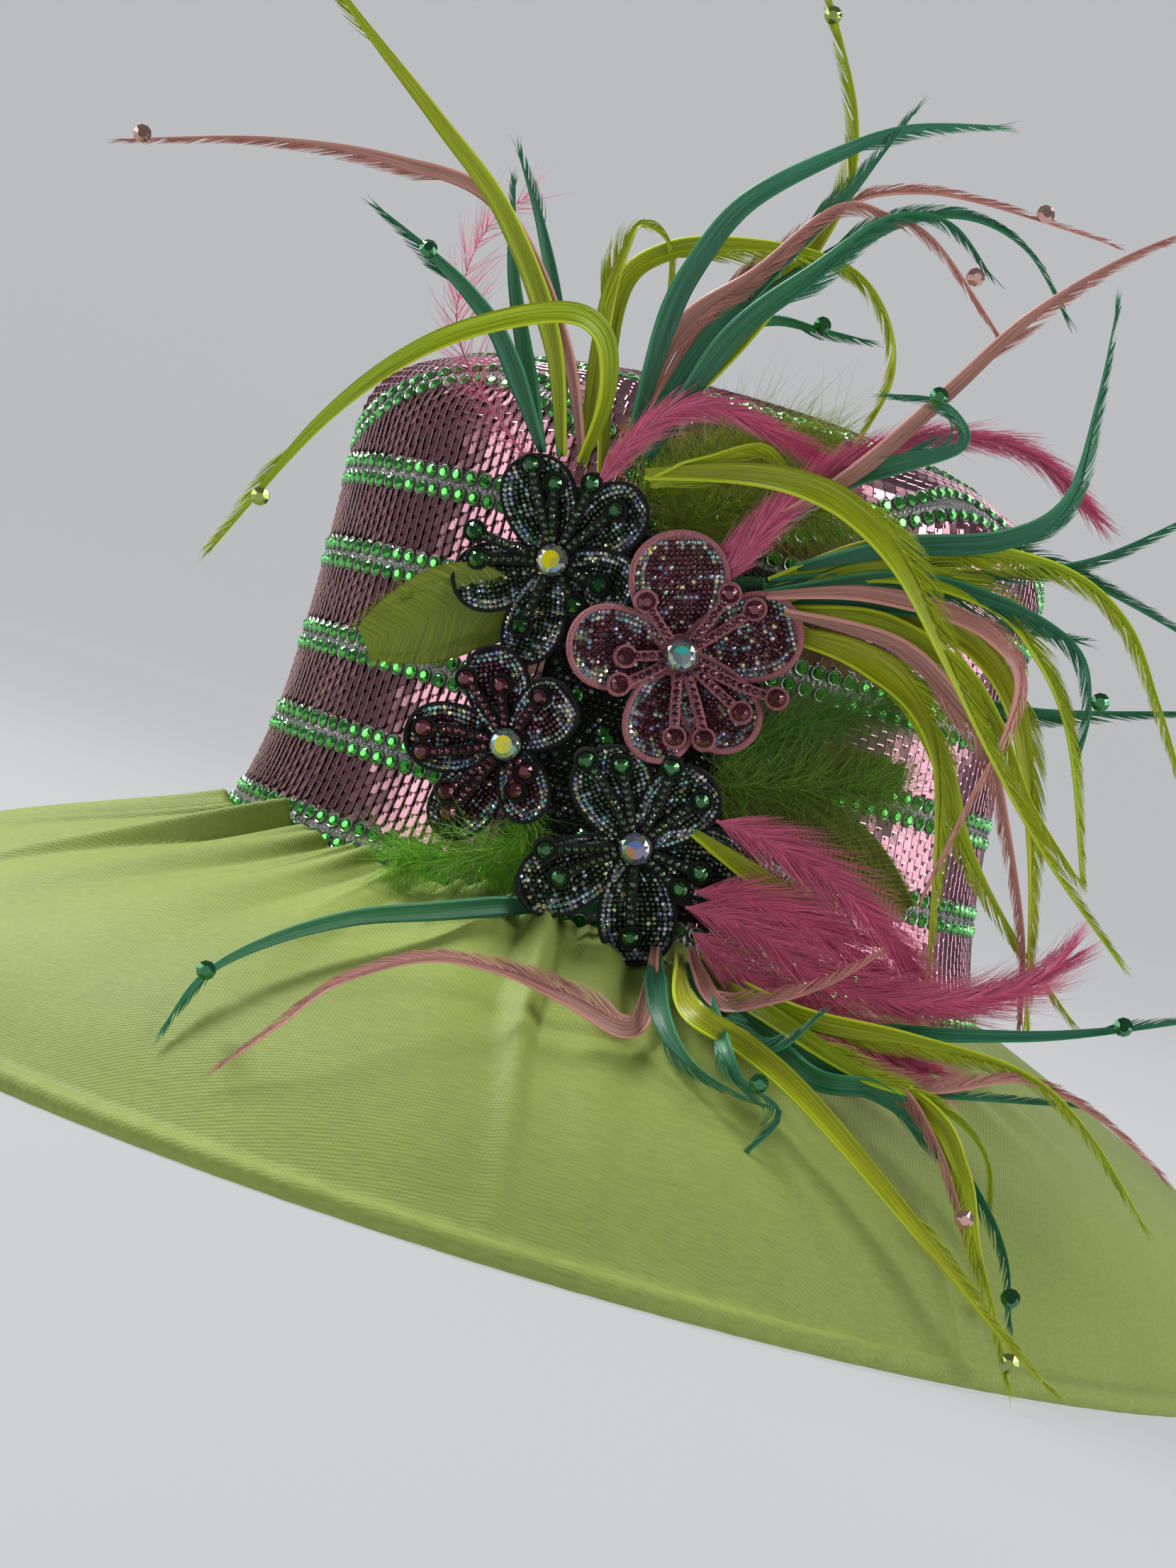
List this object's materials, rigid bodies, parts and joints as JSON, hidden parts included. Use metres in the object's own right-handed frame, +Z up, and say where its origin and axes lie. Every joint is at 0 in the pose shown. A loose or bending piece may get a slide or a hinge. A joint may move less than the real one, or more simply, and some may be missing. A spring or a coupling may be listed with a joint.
{
  "type": "wide-brimmed dress hat",
  "caption": "Wide downturned satin brim on a sequinned crown ringed with stone bands, trimmed on one side with stone-set flowers and curled feathers.",
  "frame": {"origin": "middle of the head opening, where the crown meets the brim", "axes": "+Z up through the crown, -Y to the wearer's front, -X to the wearer's right, where the trim is"},
  "size_m": [0.3588, 0.4188, 0.2961],
  "materials": {
    "buckram": "stiffened cotton net, matte",
    "lining_satin": "dark satin lining",
    "sweatband_ribbon": "black grosgrain ribbon, ribbed",
    "brim_satin": "olive-lime satin, fine weave, soft sheen",
    "edge_wire": "cotton-covered millinery wire",
    "pink_sequins": "dusty pink metallic sequins",
    "band_stones": "light green faceted stones in a clear grey setting",
    "black_felt": "black flocked felt",
    "rose_felt": "dusty pink flocked felt",
    "green_stones": "green faceted stones, foil backed",
    "maroon_stones": "maroon faceted stones, foil backed",
    "crystal_stones": "clear iridescent faceted stones, foil backed",
    "floral_tape": "green binding tape",
    "green_feather": "emerald dyed feather, satin sheen",
    "lime_feather": "chartreuse dyed feather, satin sheen",
    "rose_feather": "dusty rose dyed feather, satin sheen",
    "pink_feather": "hot pink dyed feather, soft",
    "olive_feather": "olive green dyed feather, fluffy"
  },
  "bodies": {
    "root": {"crown_side_shell": "buckram", "crown_tip_shell": "buckram", "headsize_collar": "buckram", "crown_lining": "lining_satin", "sweatband": "sweatband_ribbon", "brim_base": "buckram", "brim_cover_top": "brim_satin", "brim_cover_under": "brim_satin", "brim_edge_binding": "brim_satin", "brim_edge_wire": "edge_wire", "sequin_tier_1": "pink_sequins", "sequin_tier_2": "pink_sequins", "sequin_tier_3": "pink_sequins", "sequin_tier_4": "pink_sequins", "sequin_tier_5": "pink_sequins", "sequin_tier_6": "pink_sequins", "sequin_tip": "pink_sequins", "stone_band_1": "band_stones", "stone_band_2": "band_stones", "stone_band_3": "band_stones", "stone_band_4": "band_stones", "stone_band_5": "band_stones", "wave_band": "band_stones", "tip_band": "band_stones", "trim_pad": "black_felt", "flower_1_petals": "black_felt", "flower_1_stamens": "green_stones", "flower_1_stone": "crystal_stones", "flower_2_petals": "rose_felt", "flower_2_stamens": "maroon_stones", "flower_2_stone": "crystal_stones", "flower_3_petals": "black_felt", "flower_3_stamens": "maroon_stones", "flower_3_stone": "crystal_stones", "flower_4_petals": "black_felt", "flower_4_stamens": "green_stones", "flower_4_stone": "crystal_stones", "upper_spray_wrap": "floral_tape", "front_spray_wrap": "floral_tape", "lower_spray_wrap": "floral_tape", "upper_green_feathers": "green_feather", "upper_lime_feathers": "lime_feather", "upper_rose_feathers": "rose_feather", "hot_pink_hackles": "pink_feather", "ostrich_wisp": "pink_feather", "front_green_feathers": "green_feather", "front_lime_feathers": "lime_feather", "front_rose_feathers": "rose_feather", "lower_green_feathers": "green_feather", "lower_lime_feathers": "lime_feather", "lower_rose_feathers": "rose_feather", "lower_pink_hackles": "pink_feather", "olive_leaf_feathers": "olive_feather", "olive_marabou": "olive_feather", "green_tip_crystals": "crystal_stones", "rose_tip_crystals": "crystal_stones", "lime_tip_crystals": "crystal_stones"}
  },
  "joints": []
}
